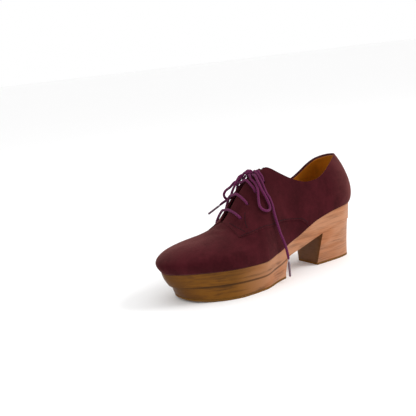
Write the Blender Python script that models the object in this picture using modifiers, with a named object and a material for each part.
"""A suede lace-up shoe on a wooden platform clog base, left foot.

Metres, +Z up, +X to the toe, +Y lateral.
"""

import math

import bmesh
import bpy
from mathutils import Vector

# Driving sizes of the last and the base
LENGTH = 0.243
BALL_WIDTH = 0.088
HEEL_HEIGHT = 0.0658
PLATFORM_HEIGHT = 0.0310
BOARD_FOREFOOT = 0.0148
BOARD_HEEL = 0.0198
TREAD = 0.0020
TOE_SPRING = 0.0050
HEEL_FRONT = 0.0570
HEEL_BACK = 0.0030
HEEL_BASE_WIDTH = 0.0330
HEEL_RAKE = 0.0045
HEEL_SETBACK = 0.0026
BOARD_BACK = 0.0014
BOARD_SIDE_IN = 0.0030  # board's underside, in from its top edge at the sides
BOARD_TOE_IN = 0.0068  # the same at the toe
SPRING_START = 0.76  # share of the length where the toe spring begins
BLOCK_KNEE = 0.0060  # height where the platform block's wall stops flaring
BLOCK_SIDE_IN = (0.0038, 0.0036, 0.0034)  # block's foot, knee and top, in from the feather line at the sides
BLOCK_TOE_IN = (0.0160, 0.0140, 0.0108)  # the same at the toe
TREAD_SIDE_IN = (0.0040, 0.0038)  # tread's underside and top, in from the feather line at the sides
TREAD_TOE_IN = (0.0166, 0.0160)  # the same at the toe
BLOCK_REAR = 0.1105
BLOCK_RAKE = 0.0055

# Driving sizes of the upper
INSTEP_RISE = 0.0880
COLLAR_BACK = 0.0524
COLLAR_ROLL = 0.085
WALL = 0.0020
OVERLAY = 0.0010
SIDE_BULGE = 0.0090
THROAT_WIDTH = 0.0150
EYELET_RADIUS = 0.0018
TONGUE_WALL = 0.0018
TONGUE_CLEAR = 0.0008
TONGUE_SINK = 0.0034
TONGUE_WIDTH = 0.0440
INSOLE_THICK = 0.0025
INSOLE_INSET = 0.0035

# Lace
LACE_RADIUS = 0.0014
LACE_CLEAR = 0.0012
AGLET_RADIUS = 0.0012
KNOT_SIZE = (0.0075, 0.0095, 0.0070)

# Gap between pieces that touch, and how far a cutter runs past what it cuts
GAP = 0.0003
PAST = 0.0300

# Plan of the feather line: share of the length, lateral and medial half widths as shares of the ball width
PLAN = (
    (0.00, 0.318, 0.318),
    (0.12, 0.330, 0.335),
    (0.25, 0.318, 0.330),
    (0.40, 0.324, 0.307),
    (0.50, 0.398, 0.318),
    (0.62, 0.534, 0.381),
    (0.72, 0.551, 0.449),
    (0.80, 0.525, 0.483),
    (0.90, 0.464, 0.493),
    (1.00, 0.432, 0.498),
)
HEEL_END = 0.115
TOE_START = 0.72
HEEL_POWER = 2.1
HEEL_BASE_POWER = 3.2
TOE_POWER = 1.84
INSET_POWER = 3

# Feather line's height between the platform (0) and the heel (1), by share of the length
PITCH = (
    (0.00, 1.000),
    (0.12, 0.902),
    (0.25, 0.675),
    (0.38, 0.280),
    (0.50, 0.035),
    (0.62, -0.029),
    (0.75, 0.005),
    (0.88, 0.014),
    (1.00, 0.034),
)

# The upper above its feather line: share, rise (share of the instep rise), lateral and medial roundness,
# bulge (share of the side bulge)
SECTIONS = (
    (0.00, 0.773, 1.35, 1.35, 1.05),
    (0.10, 0.785, 1.50, 1.50, 0.62),
    (0.20, 0.840, 1.58, 1.58, 0.38),
    (0.30, 0.905, 1.65, 1.60, 0.22),
    (0.42, 1.000, 1.70, 1.50, 0.22),
    (0.52, 0.943, 1.75, 1.40, 0.22),
    (0.60, 0.765, 1.80, 1.35, 0.22),
    (0.65, 0.590, 1.95, 1.35, 0.34),
    (0.69, 0.455, 2.05, 1.50, 0.44),
    (0.73, 0.378, 2.15, 1.80, 0.54),
    (0.79, 0.326, 2.35, 2.20, 0.67),
    (0.86, 0.300, 2.50, 2.45, 0.90),
    (0.94, 0.286, 2.50, 2.50, 1.00),
    (1.00, 0.276, 2.50, 2.50, 1.00),
)
TOE_FALL = 0.15
ANKLE_LEAN = 0.095
TOE_TUCK = 0.103

# Collar's edge seen from the side: share of the length, height as a share of the collar's back height
COLLAR_EDGE = (
    (-0.15, 1.000),
    (0.03, 1.000),
    (0.08, 0.950),
    (0.117, 0.855),
    (0.166, 0.700),
    (0.20, 0.615),
    (0.235, 0.572),
    (0.27, 0.565),
    (0.317, 0.620),
    (0.358, 0.718),
    (0.386, 0.805),
    (0.410, 0.890),
    (0.432, 0.975),
    (0.453, 1.025),
    (0.475, 0.992),
    (0.494, 0.925),
)

# Quarter's lower edge seen from the side: share of the length, height as a share of the heel's height
QUARTER_EDGE = (
    (0.683, 1.170),
    (0.702, 0.890),
    (0.672, 0.918),
    (0.635, 0.946),
    (0.578, 0.969),
    (0.532, 0.951),
    (0.469, 0.958),
    (0.426, 0.944),
    (0.384, 0.918),
    (0.347, 0.893),
    (0.300, 0.740),
)

# Throat seen from above: share of the length, half width as a share of the throat's width
THROAT = (
    (0.430, 0.42),
    (0.480, 0.40),
    (0.540, 0.38),
    (0.600, 0.34),
    (0.660, 0.28),
    (0.682, 0.20),
    (0.690, 0.08),
)

# Eyelets on each side: share of the length, distance from the middle as a share of the ball width
EYELETS = ((0.652, 0.262), (0.604, 0.236), (0.551, 0.216), (0.492, 0.172))

# Lace routes: x, y and z of places along each cord, in metres
KNOT_PLACE = (0.1260, 0.0000, 0.1163)
LOOP_LATERAL = (
    (0.1296, 0.0048, 0.1160),
    (0.1310, 0.0084, 0.1128),
    (0.1316, 0.0116, 0.1102),
    (0.1318, 0.0178, 0.1068),
    (0.1337, 0.0234, 0.1016),
    (0.1363, 0.0268, 0.0930),
    (0.1386, 0.0306, 0.0862),
    (0.1376, 0.0334, 0.0823),
    (0.1336, 0.0350, 0.0798),
    (0.1284, 0.0340, 0.0802),
    (0.1268, 0.0318, 0.0844),
    (0.1275, 0.0286, 0.0916),
    (0.1302, 0.0256, 0.1008),
    (0.1309, 0.0220, 0.1080),
    (0.1290, 0.0148, 0.1142),
    (0.1272, 0.0078, 0.1148),
)
END_LATERAL = (
    (0.1242, 0.0062, 0.1190),
    (0.1243, 0.0098, 0.1168),
    (0.1242, 0.0132, 0.1143),
    (0.1240, 0.0190, 0.1062),
    (0.1244, 0.0248, 0.0966),
    (0.1230, 0.0282, 0.0906),
    (0.1226, 0.0312, 0.0832),
    (0.1236, 0.0346, 0.0750),
    (0.1231, 0.0370, 0.0652),
    (0.1215, 0.0390, 0.0540),
    (0.1196, 0.0400, 0.0468),
    (0.1175, 0.0406, 0.0388),
    (0.1158, 0.0409, 0.0285),
    (0.1156, 0.0410, 0.0236),
)
AGLET_LATERAL = ((0.1156, 0.0410, 0.0232), (0.1158, 0.0411, 0.0050))
LOOP_MEDIAL = (
    (0.1240, -0.0061, 0.1170),
    (0.1262, -0.0102, 0.1142),
    (0.1310, -0.0112, 0.1086),
    (0.1357, -0.0150, 0.1064),
    (0.1412, -0.0162, 0.1020),
    (0.1461, -0.0180, 0.0990),
    (0.1483, -0.0190, 0.0952),
    (0.1468, -0.0200, 0.0912),
    (0.1440, -0.0190, 0.0896),
    (0.1416, -0.0160, 0.0930),
    (0.1414, -0.0125, 0.0980),
    (0.1396, -0.0085, 0.1050),
    (0.1350, -0.0066, 0.1126),
    (0.1306, -0.0050, 0.1146),
    (0.1292, -0.0042, 0.1154),
)
END_MEDIAL = (
    (0.1268, -0.0054, 0.1130),
    (0.1262, -0.0106, 0.1090),
    (0.1272, -0.0150, 0.1025),
    (0.1302, -0.0208, 0.0952),
    (0.1355, -0.0240, 0.0896),
    (0.1426, -0.0242, 0.0870),
    (0.1485, -0.0240, 0.0850),
    (0.1528, -0.0238, 0.0831),
)
AGLET_MEDIAL = ((0.1532, -0.0238, 0.0829), (0.1690, -0.0225, 0.0770))
CORD_STEP = 0.0065

COLUMNS = 56
ROWS = 9
BASE_COLUMNS = 40


def table_value(table, column, share):
    """Reads a column of a table at a share, smoothly and with no overshoot."""
    last = len(table) - 1
    row = max(k for k in range(last) if k == 0 or table[k][0] <= share)
    width = table[row + 1][0] - table[row][0]
    t = (share - table[row][0]) / width
    low, high = table[row][column], table[row + 1][column]
    start = knot_slope(table, column, row) * width
    end = knot_slope(table, column, row + 1) * width
    rise = high - low
    return low + t * (start + t * (3 * rise - 2 * start - end + t * (start + end - 2 * rise)))


def knot_slope(table, column, row):
    """Slope of the smooth curve at one row of a table."""
    if row == 0 or row == len(table) - 1:
        row = max(1, row)
        return (table[row][column] - table[row - 1][column]) / (table[row][0] - table[row - 1][0])
    before = (table[row][column] - table[row - 1][column]) / (table[row][0] - table[row - 1][0])
    after = (table[row + 1][column] - table[row][column]) / (table[row + 1][0] - table[row][0])
    if before * after <= 0:
        return 0.0
    return 2 * before * after / (before + after)


def end_taper(share):
    """How much of the half width is left where the plan rounds off at the heel and the toe."""
    kept = 1.0
    if share < HEEL_END:
        kept = max(0.0, 1 - ((HEEL_END - share) / HEEL_END) ** HEEL_POWER) ** (1 / HEEL_POWER)
    if share > TOE_START:
        reach = (share - TOE_START) / (1 - TOE_START)
        kept = max(0.0, 1 - reach**TOE_POWER) ** (1 / TOE_POWER)
    return kept


def feather_height(share):
    """Height of the line where the upper meets the board."""
    return PLATFORM_HEIGHT + (HEEL_HEIGHT - PLATFORM_HEIGHT) * table_value(PITCH, 1, share)


def feather_point(share, side):
    """A point of the feather line; side is 1 on the lateral side and -1 on the medial side."""
    column = 1 if side > 0 else 2
    half = BALL_WIDTH * table_value(PLAN, column, share) * end_taper(share)
    return Vector((share * LENGTH, side * half, feather_height(share)))


def spine_point(share):
    """A point of the top line of the last, over the feather point of the same share."""
    forward = ANKLE_LEAN * LENGTH * max(0.0, 1 - share / 0.3) ** 2
    tucked = TOE_TUCK * LENGTH * max(0.0, (share - 0.7) / 0.3) ** 2
    height = feather_height(share) + INSTEP_RISE * table_value(SECTIONS, 1, share)
    return Vector((share * LENGTH + forward - tucked, 0.0, height))


def folded(turn, side, lift):
    """Brings a place past the heel, the toe or the spine back onto the other side of the last."""
    if turn < 0 or turn > 1:
        turn = -turn if turn < 0 else 2 - turn
        side = -side
    if lift > 1:
        lift = 2 - lift
        side = -side
    return turn, side, lift


def last_point(turn, side, lift):
    """A point of the last: turn runs from heel to toe, lift from the feather line to the spine."""
    turn, side, lift = folded(turn, side, lift)
    share = (1 - math.cos(math.pi * turn)) / 2
    foot = feather_point(share, side)
    spine = spine_point(share)
    roundness = table_value(SECTIONS, 2 if side > 0 else 3, share)
    inward = math.cos(lift * math.pi / 2) ** (2 / roundness) if lift < 1 else 0.0
    upward = math.sin(lift * math.pi / 2) ** (2 / roundness) if lift > 0 else 0.0
    across = Vector((foot.x - spine.x, foot.y - spine.y, 0.0))
    swell = SIDE_BULGE * table_value(SECTIONS, 4, share) * 1.3 * math.sin(math.pi * lift) * (1 - lift)
    outward = across.normalized() if across.length > 1e-6 else Vector((0.0, side, 0.0))
    flat = Vector((spine.x, spine.y, 0.0)) + across * inward + outward * swell
    fall = TOE_FALL * max(0.0, (share - TOE_START) / (1 - TOE_START)) * (flat.x - spine.x)
    return Vector((flat.x, flat.y, foot.z + (spine.z - foot.z - fall) * upward))


def last_normal(turn, side, lift):
    """Outward direction of the last's surface; the spine's two ends take that of the places beside them."""
    step = 0.012
    if lift > 1 - step:
        turn = min(max(turn, 2 * step), 1 - 2 * step)
    low = max(0.0, lift - step)
    along = last_point(turn + step, side, lift) - last_point(turn - step, side, lift)
    up = last_point(turn, side, lift + step) - last_point(turn, side, low)
    return up.cross(along).normalized() * side


def skin_point(turn, side, lift, offset):
    """A point at a distance outside the last, or inside it where the distance is negative."""
    return last_point(turn, side, lift) + last_normal(turn, side, lift) * offset


def turn_at(share):
    """The turn whose feather point lies at this share of the length."""
    return math.acos(1 - 2 * share) / math.pi


def lift_at(turn, out):
    """The lift at which the last is this far from the middle."""
    side = 1 if out > 0 else -1
    low, high = 0.25, 1.0
    for _ in range(30):
        middle = (low + high) / 2
        if abs(last_point(turn, side, middle).y) > abs(out):
            low = middle
        else:
            high = middle
    return (low + high) / 2


def point_over(share, out, height):
    """A point above the upper, given by its share of the length and its distance from the middle."""
    turn = turn_at(share)
    side = 1 if out > 0 else -1
    return skin_point(turn, side, lift_at(turn, out), height)


def new_collection(name):
    """Makes a collection in the scene."""
    made = bpy.data.collections.new(name)
    bpy.context.scene.collection.children.link(made)
    return made


def new_material(name, color, roughness):
    """A plain material with one colour."""
    material = bpy.data.materials.new(name)
    material.use_nodes = True
    shader = material.node_tree.nodes["Principled BSDF"]
    shader.inputs["Base Color"].default_value = (*color, 1.0)
    shader.inputs["Roughness"].default_value = roughness
    shader.inputs["Metallic"].default_value = 0.0
    return material


def new_object(name, mesh, collection, material=None):
    """Links a mesh as an object with its material."""
    mesh.shade_smooth()
    mesh.set_sharp_from_angle(angle=math.radians(35))
    made = bpy.data.objects.new(name, mesh)
    collection.objects.link(made)
    if material:
        made.data.materials.append(material)
    return made


def mesh_from(name, build):
    """Makes a mesh with a function that fills a bmesh, and turns its faces outward."""
    shape = bmesh.new()
    build(shape)
    bmesh.ops.remove_doubles(shape, verts=shape.verts, dist=1e-6)
    bmesh.ops.dissolve_degenerate(shape, edges=shape.edges, dist=1e-7)
    bmesh.ops.recalc_face_normals(shape, faces=shape.faces)
    mesh = bpy.data.meshes.new(name)
    shape.to_mesh(mesh)
    shape.free()
    return mesh


def bridge(shape, one, other):
    """Faces between two rows of corners of equal number, leaving out what has no width."""
    for k in range(len(one) - 1):
        corners = [one[k], one[k + 1], other[k + 1], other[k]]
        if (corners[0].co - corners[3].co).length < 1e-7:
            corners.pop(3)
        elif (corners[1].co - corners[2].co).length < 1e-7:
            corners.pop(2)
        shape.faces.new(corners)


def loft(name, levels):
    """A solid between stacked outlines: each level holds a lateral and a medial row of points."""

    def build(shape):
        rows = [[[shape.verts.new(p) for p in row] for row in level] for level in levels]
        for lower, upper in zip(rows, rows[1:]):
            bridge(shape, lower[0], upper[0])
            bridge(shape, upper[1], lower[1])
            close_end(shape, lower, upper, 0)
            close_end(shape, lower, upper, -1)
        bridge(shape, rows[0][0], rows[0][1])
        bridge(shape, rows[-1][1], rows[-1][0])

    return mesh_from(name, build)


def close_end(shape, lower, upper, end):
    """A face across an end of two levels, unless the end comes to an edge."""
    if (lower[0][end].co - lower[1][end].co).length > 1e-6:
        shape.faces.new([lower[0][end], lower[1][end], upper[1][end], upper[0][end]])


def inset_point(share, side, sideways, toe, heel):
    """A feather point moved inward in plan, by its own amount at the sides, the toe and the heel."""
    half = BALL_WIDTH * table_value(PLAN, 1 if side > 0 else 2, share)
    toe_reach = max(0.0, (share - TOE_START) / (1 - TOE_START))
    heel_reach = max(0.0, (HEEL_END - share) / HEEL_END)
    x = share * LENGTH - toe * toe_reach**INSET_POWER + heel * heel_reach**INSET_POWER
    return Vector((x, side * (half - sideways) * end_taper(share)))


def outline(start, end, sideways, toe, heel, height):
    """Lateral and medial rows of an inset outline between two shares, with a height for each place."""
    first, last = turn_at(start), turn_at(end)
    rows = []
    for side in (1, -1):
        row = []
        for k in range(BASE_COLUMNS + 1):
            turn = first + (last - first) * k / BASE_COLUMNS
            share = (1 - math.cos(math.pi * turn)) / 2
            place = inset_point(share, side, sideways, toe, heel)
            row.append(Vector((place.x, place.y, height(place.x / LENGTH))))
        rows.append(row)
    return rows


def board_thickness(share):
    """The board is thicker where the heel block joins it."""
    blend = min(1.0, max(0.0, (0.42 - share) / 0.18))
    blend = blend * blend * (3 - 2 * blend)
    return BOARD_FOREFOOT + (BOARD_HEEL - BOARD_FOREFOOT) * blend


def board_bottom(share):
    """Height of the board's underside."""
    return feather_height(share) - board_thickness(share)


def board_side_inset(share_inset):
    """Outline of the board at a part of its thickness, from 0 at the top to 1 at the bottom."""
    return outline(
        0.0,
        1.0,
        BOARD_SIDE_IN * share_inset,
        BOARD_TOE_IN * share_inset**1.6,
        BOARD_BACK * (share_inset - 1),
        lambda share: feather_height(share) - board_thickness(share) * share_inset,
    )


def make_board(collection, material):
    """The footbed board, which follows the last from heel to toe."""
    levels = [board_side_inset(part) for part in (1.0, 0.8, 0.5, 0.25, 0.0)]
    return new_object("footbed_board", loft("footbed_board", levels), collection, material)


def spring_height(share):
    """How far the forefoot's underside rises towards the toe."""
    return TOE_SPRING * max(0.0, (share - SPRING_START) / (1 - SPRING_START)) ** 2


def make_platform_block(collection, material):
    """The wooden block under the forefoot, set back from the board at the toe."""
    rear_top = (BLOCK_REAR - BLOCK_RAKE) / LENGTH
    rear_low = BLOCK_REAR / LENGTH
    heights = (
        (rear_low, lambda share: TREAD + GAP + spring_height(share)),
        (rear_low, lambda share: BLOCK_KNEE + spring_height(share)),
        (rear_top, lambda share: board_bottom(share) - GAP),
    )
    levels = [
        outline(rear, 1.0, side_in, toe_in, side_in, height)
        for (rear, height), side_in, toe_in in zip(heights, BLOCK_SIDE_IN, BLOCK_TOE_IN)
    ]
    mesh = loft("platform_block", levels)
    return new_object("platform_block", mesh, collection, material)


def make_forefoot_tread(collection, material):
    """The thin tread under the platform block, flat behind the ball and raised at the toe."""
    rear = BLOCK_REAR / LENGTH
    heights = (spring_height, lambda share: TREAD + spring_height(share))
    levels = [
        outline(rear, 1.0, side_in, toe_in, side_in, height)
        for height, side_in, toe_in in zip(heights, TREAD_SIDE_IN, TREAD_TOE_IN)
    ]
    return new_object("forefoot_tread", loft("forefoot_tread", levels), collection, material)


def heel_base_row(side, height):
    """Half of the heel's footprint on the floor, from the breast to its rounded back."""
    row = []
    half = HEEL_BASE_WIDTH / 2
    depth = HEEL_FRONT - HEEL_BACK
    for k in range(BASE_COLUMNS + 1):
        x = HEEL_BACK + depth * (1 - k / BASE_COLUMNS) ** 2
        reach = (HEEL_FRONT - x) / depth
        y = half * max(0.0, 1 - reach**HEEL_BASE_POWER) ** (1 / HEEL_BASE_POWER)
        row.append(Vector((x, side * y, height)))
    return row


def heel_top_rows(breast_share):
    """The heel's outline under the board, from the breast to its back."""
    rows = outline(
        0.0, breast_share, 0.0034, 0.0034, HEEL_SETBACK, lambda share: board_bottom(share) - GAP
    )
    return [row[::-1] for row in rows]


def blend_rows(low, high, part, floor):
    """Rows between two outlines, with heights that run from the floor's level to the board."""
    rows = []
    for one, other in zip(low, high):
        row = [Vector(a.lerp(b, part)) for a, b in zip(one, other)]
        for point, b in zip(row, other):
            point.z = floor + (b.z - floor) * part
        rows.append(row)
    return rows


def make_heel_block(collection, material):
    """The block heel: upright at the back, raked at the breast and tapered to the floor."""
    floor = TREAD + GAP
    top = heel_top_rows((HEEL_FRONT - HEEL_RAKE) / LENGTH)
    base = [heel_base_row(side, floor) for side in (1, -1)]
    levels = [blend_rows(base, top, part, floor) for part in (0.0, 0.3, 0.6, 0.85, 1.0)]
    return new_object("heel_block", loft("heel_block", levels), collection, material)


def make_heel_top_piece(collection, material):
    """The thin tread under the heel."""
    levels = [[heel_base_row(side, height) for side in (1, -1)] for height in (0.0, TREAD)]
    return new_object("heel_top_piece", loft("heel_top_piece", levels), collection, material)


def make_insole(collection, material):
    """The leather sock on the board, inside the upper."""
    inset = INSOLE_INSET
    levels = [
        outline(0.0, 1.0, inset, inset, inset, lambda share: feather_height(share) + GAP),
        outline(0.0, 1.0, inset, inset, inset, lambda share: feather_height(share) + INSOLE_THICK),
    ]
    return new_object("insole", loft("insole", levels), collection, material)


def skin_solid(name, offset, bottom):
    """A closed solid of the last at an offset, with its underside at a height over the feather line."""

    def build(shape):
        grid = {}
        for column in range(COLUMNS + 1):
            turn = column / COLUMNS
            for row in range(2 * ROWS + 1):
                side = 1 if row <= ROWS else -1
                lift = min(row, 2 * ROWS - row) / ROWS
                point = skin_point(turn, side, lift, offset)
                if lift == 0:
                    point.z = last_point(turn, side, 0.0).z + bottom
                grid[column, row] = shape.verts.new(point)
        for column in range(COLUMNS):
            for row in range(2 * ROWS):
                shape.faces.new(
                    [
                        grid[column, row],
                        grid[column + 1, row],
                        grid[column + 1, row + 1],
                        grid[column, row + 1],
                    ]
                )
        for column in range(COLUMNS):
            shape.faces.new(
                [grid[column, 0], grid[column + 1, 0], grid[column + 1, 2 * ROWS], grid[column, 2 * ROWS]]
            )

    return mesh_from(name, build)


def smooth_edge(table, count, to_point):
    """Points along a table's curve, evenly spaced by its rows."""
    numbered = [(k, *row) for k, row in enumerate(table)]
    points = []
    for k in range(count + 1):
        place = k * (len(table) - 1) / count
        points.append(to_point(table_value(numbered, 1, place), table_value(numbered, 2, place)))
    return points


def prism(name, corners, axis, start, end, roll=0.0):
    """An outline pushed along an axis, 1 is Y and 2 is Z, and rising along Y by its roll."""

    def build(shape):
        first = []
        for a, b in corners:
            place = (a, start, b + roll * start) if axis == 1 else (a, b, start)
            first.append(shape.verts.new(place))
        face = shape.faces.new(first)
        pushed = bmesh.ops.extrude_face_region(shape, geom=[face])
        length = end - start
        move = Vector((0, length, roll * length)) if axis == 1 else Vector((0, 0, length))
        moved = [item for item in pushed["geom"] if isinstance(item, bmesh.types.BMVert)]
        bmesh.ops.translate(shape, verts=moved, vec=move)

    return mesh_from(name, build)


def as_cutter(mesh, cutters):
    """Links a mesh as a helper that the build leaves out."""
    made = bpy.data.objects.new(mesh.name, mesh)
    cutters.objects.link(made)
    made.hide_render = True
    made.display_type = "WIRE"
    return made


def cut(target, tool, operation):
    """Adds an exact Boolean with a tool."""
    modifier = target.modifiers.new(operation.title() + " " + tool.name, "BOOLEAN")
    modifier.operation = operation
    modifier.object = tool
    modifier.solver = "EXACT"


def collar_cutter(cutters):
    """Everything above the collar's edge."""
    top = HEEL_HEIGHT + COLLAR_BACK + PAST
    edge = smooth_edge(
        COLLAR_EDGE, 30, lambda share, height: (share * LENGTH, HEEL_HEIGHT + COLLAR_BACK * height)
    )
    corners = edge + [(edge[-1][0], top), (edge[0][0], top)]
    mesh = prism("collar_cutter", corners, 1, -BALL_WIDTH, BALL_WIDTH, COLLAR_ROLL)
    return as_cutter(mesh, cutters)


def throat_cutter(cutters):
    """The slot between the facings, seen from above."""
    half = smooth_edge(THROAT, 10, lambda share, width: (share * LENGTH, THROAT_WIDTH * width))
    corners = half + [(x, -y) for x, y in reversed(half)]
    low = PLATFORM_HEIGHT + 0.35 * INSTEP_RISE
    high = HEEL_HEIGHT + COLLAR_BACK + PAST
    return as_cutter(prism("throat_cutter", corners, 2, low, high), cutters)


def quarter_zone(cutters):
    """The part of the upper's side that the quarters cover."""
    top = HEEL_HEIGHT + COLLAR_BACK + PAST
    edge = [(share * LENGTH, HEEL_HEIGHT * height) for share, height in QUARTER_EDGE]
    behind = -0.2 * LENGTH
    corners = edge + [(edge[-1][0], 0.0), (behind, 0.0), (behind, top), (edge[0][0], top)]
    return as_cutter(prism("quarter_zone", corners, 1, -BALL_WIDTH, BALL_WIDTH), cutters)


def eyelet_cutters(cutters):
    """A punch through the wall at each eyelet."""
    made = []
    for share, out in EYELETS:
        for side in (1, -1):
            turn = turn_at(share)
            lift = lift_at(turn, side * out * BALL_WIDTH)
            centre = skin_point(turn, side, lift, -WALL / 2)
            outward = last_normal(turn, side, lift)
            mesh = punch_mesh(f"punch_{len(made) + 1}")
            tool = as_cutter(mesh, cutters)
            tool.rotation_euler = outward.to_track_quat("Z", "Y").to_euler()
            tool.location = centre
            made.append(tool)
    return made


def punch_mesh(name):
    """A cylinder that is longer than the wall."""
    shape = bmesh.new()
    bmesh.ops.create_cone(
        shape,
        cap_ends=True,
        segments=10,
        radius1=EYELET_RADIUS,
        radius2=EYELET_RADIUS,
        depth=4 * (WALL + OVERLAY),
    )
    mesh = bpy.data.meshes.new(name)
    shape.to_mesh(mesh)
    shape.free()
    return mesh


def make_upper(parts, cutters, material):
    """One hollow shell, with the quarters as a raised overlay and the throat, collar and eyelets cut."""
    upper = new_object("upper", skin_solid("upper", 0.0, GAP), parts, material)
    quarters = as_cutter(skin_solid("quarters", OVERLAY, 2 * GAP), cutters)
    cut(quarters, quarter_zone(cutters), "INTERSECT")
    hollow = as_cutter(skin_solid("hollow", -WALL, -2 * WALL), cutters)
    cut(upper, quarters, "UNION")
    cut(upper, hollow, "DIFFERENCE")
    cut(upper, collar_cutter(cutters), "DIFFERENCE")
    cut(upper, throat_cutter(cutters), "DIFFERENCE")
    for tool in eyelet_cutters(cutters):
        cut(upper, tool, "DIFFERENCE")
    return upper


def make_tongue(collection, material):
    """The tongue under the facings, an open sheet made solid."""
    columns, rows = 16, 12
    slot = 1.4 * THROAT_WIDTH / 2

    def build(shape):
        grid = []
        for column in range(columns + 1):
            turn = turn_at(0.700 + (0.447 - 0.700) * column / columns)
            line = []
            for row in range(rows + 1):
                out = (row / rows - 0.5) * TONGUE_WIDTH * (0.80 + 0.20 * column / columns)
                side = 1 if out >= 0 else -1
                lift = lift_at(turn, out) if abs(out) > 1e-6 else 1.0
                sunk = TONGUE_SINK * max(0.0, 1 - (out / slot) ** 2)
                line.append(shape.verts.new(skin_point(turn, side, lift, -WALL - TONGUE_CLEAR - sunk)))
            grid.append(line)
        for one, other in zip(grid, grid[1:]):
            bridge(shape, one, other)

    made = new_object("tongue", mesh_from("tongue", build), collection, material)
    upward = sum((face.normal.z for face in made.data.polygons), 0.0) > 0
    thick = made.modifiers.new("Thickness", "SOLIDIFY")
    thick.thickness = TONGUE_WALL
    thick.offset = -1.0 if upward else 1.0
    return made


def make_cord(name, points, radius, collection, material):
    """A tube along points."""
    curve = bpy.data.curves.new(name, "CURVE")
    curve.dimensions = "3D"
    curve.bevel_depth = radius
    curve.bevel_resolution = 2
    curve.use_fill_caps = True
    line = curve.splines.new("POLY")
    line.points.add(len(points) - 1)
    for item, place in zip(line.points, points):
        item.co = (*place, 1.0)
    made = bpy.data.objects.new(name, curve)
    collection.objects.link(made)
    made.data.materials.append(material)
    return made


def smooth_route(places):
    """Points along a smooth curve through the places of a cord, one every step or so."""
    knots = [Vector(p) for p in places]
    knots = [knots[0] * 2 - knots[1]] + knots + [knots[-1] * 2 - knots[-2]]
    dense = []
    for a, b, c, d in zip(knots, knots[1:], knots[2:], knots[3:]):
        for k in range(12):
            t = k / 12
            bend = (a * 2 - b * 5 + c * 4 - d) * t**2 + (b * 3 - a - c * 3 + d) * t**3
            dense.append((b * 2 + (c - a) * t + bend) / 2)
    dense.append(knots[-2])
    length = sum((q - p).length for p, q in zip(dense, dense[1:]))
    count = max(2, round(length / CORD_STEP))
    route, walked = [dense[0]], 0.0
    for p, q in zip(dense, dense[1:]):
        walked += (q - p).length
        if walked >= length * len(route) / count and len(route) < count:
            route.append(q)
    return route + [dense[-1]]


def bar_points(share, out):
    """A lace bar from one eyelet to the other, over the facings and straight across the throat."""
    seat = OVERLAY + LACE_RADIUS + 2 * GAP
    edge = THROAT_WIDTH * table_value(THROAT, 1, share) + GAP
    start = out * BALL_WIDTH - EYELET_RADIUS
    rows = [(start + (edge - start) * k / 4, seat + LACE_CLEAR * k / 4) for k in range(5)]
    lateral = [point_over(share, y, height) for y, height in rows]
    medial = [point_over(share, -y, height) for y, height in reversed(rows)]
    middle = (lateral[-1] + medial[0]) / 2
    return lateral + [middle] + medial


def make_laces(collection, material):
    """Bars, knot, loops and ends of the lace, with its tips."""
    for k, (share, out) in enumerate(EYELETS):
        make_cord(f"lace_bar_{k + 1}", bar_points(share, out), LACE_RADIUS, collection, material)
    shape = bmesh.new()
    bmesh.ops.create_uvsphere(shape, u_segments=14, v_segments=8, radius=0.5)
    bmesh.ops.scale(shape, vec=KNOT_SIZE, verts=shape.verts)
    mesh = bpy.data.meshes.new("lace_knot")
    shape.to_mesh(mesh)
    shape.free()
    knot = new_object("lace_knot", mesh, collection, material)
    knot.location = KNOT_PLACE
    routes = {
        "lace_loop_lateral": LOOP_LATERAL,
        "lace_loop_medial": LOOP_MEDIAL,
        "lace_end_lateral": END_LATERAL,
        "lace_end_medial": END_MEDIAL,
    }
    for name, places in routes.items():
        make_cord(name, smooth_route(places), LACE_RADIUS, collection, material)


def make_aglets(collection, material):
    """The clear tips of the lace's ends."""
    for name, points in (("aglet_lateral", AGLET_LATERAL), ("aglet_medial", AGLET_MEDIAL)):
        make_cord(name, [Vector(p) for p in points], AGLET_RADIUS, collection, material)


def clear_scene():
    """Removes what the scene holds."""
    for item in list(bpy.data.objects):
        bpy.data.objects.remove(item, do_unlink=True)


def main():
    """Builds the shoe."""
    clear_scene()
    parts = new_collection("platform_clog_shoe")
    cutters = new_collection("cutters")
    frame = bpy.data.objects.new("shoe_frame", None)
    frame.location = (-(HEEL_BACK + HEEL_FRONT) / 2, 0.0, 0.0)
    parts.objects.link(frame)
    suede = new_material("wine suede", (0.095, 0.020, 0.022), 0.95)
    make_board(parts, new_material("board wood", (0.44, 0.22, 0.10), 0.45))
    make_platform_block(parts, new_material("platform wood", (0.40, 0.19, 0.08), 0.45))
    make_heel_block(parts, new_material("heel wood", (0.46, 0.24, 0.13), 0.45))
    make_forefoot_tread(parts, new_material("forefoot tread rubber", (0.05, 0.03, 0.02), 0.8))
    make_heel_top_piece(parts, new_material("heel tread rubber", (0.05, 0.03, 0.02), 0.8))
    make_insole(parts, new_material("sock leather", (0.40, 0.19, 0.05), 0.6))
    make_upper(parts, cutters, suede)
    make_tongue(parts, new_material("tongue suede", (0.095, 0.020, 0.022), 0.95))
    make_laces(parts, new_material("lace cotton", (0.18, 0.03, 0.10), 0.8))
    make_aglets(parts, new_material("aglet plastic", (0.75, 0.70, 0.75), 0.2))
    for piece in list(parts.objects) + list(cutters.objects):
        if piece != frame:
            piece.parent = frame


main()
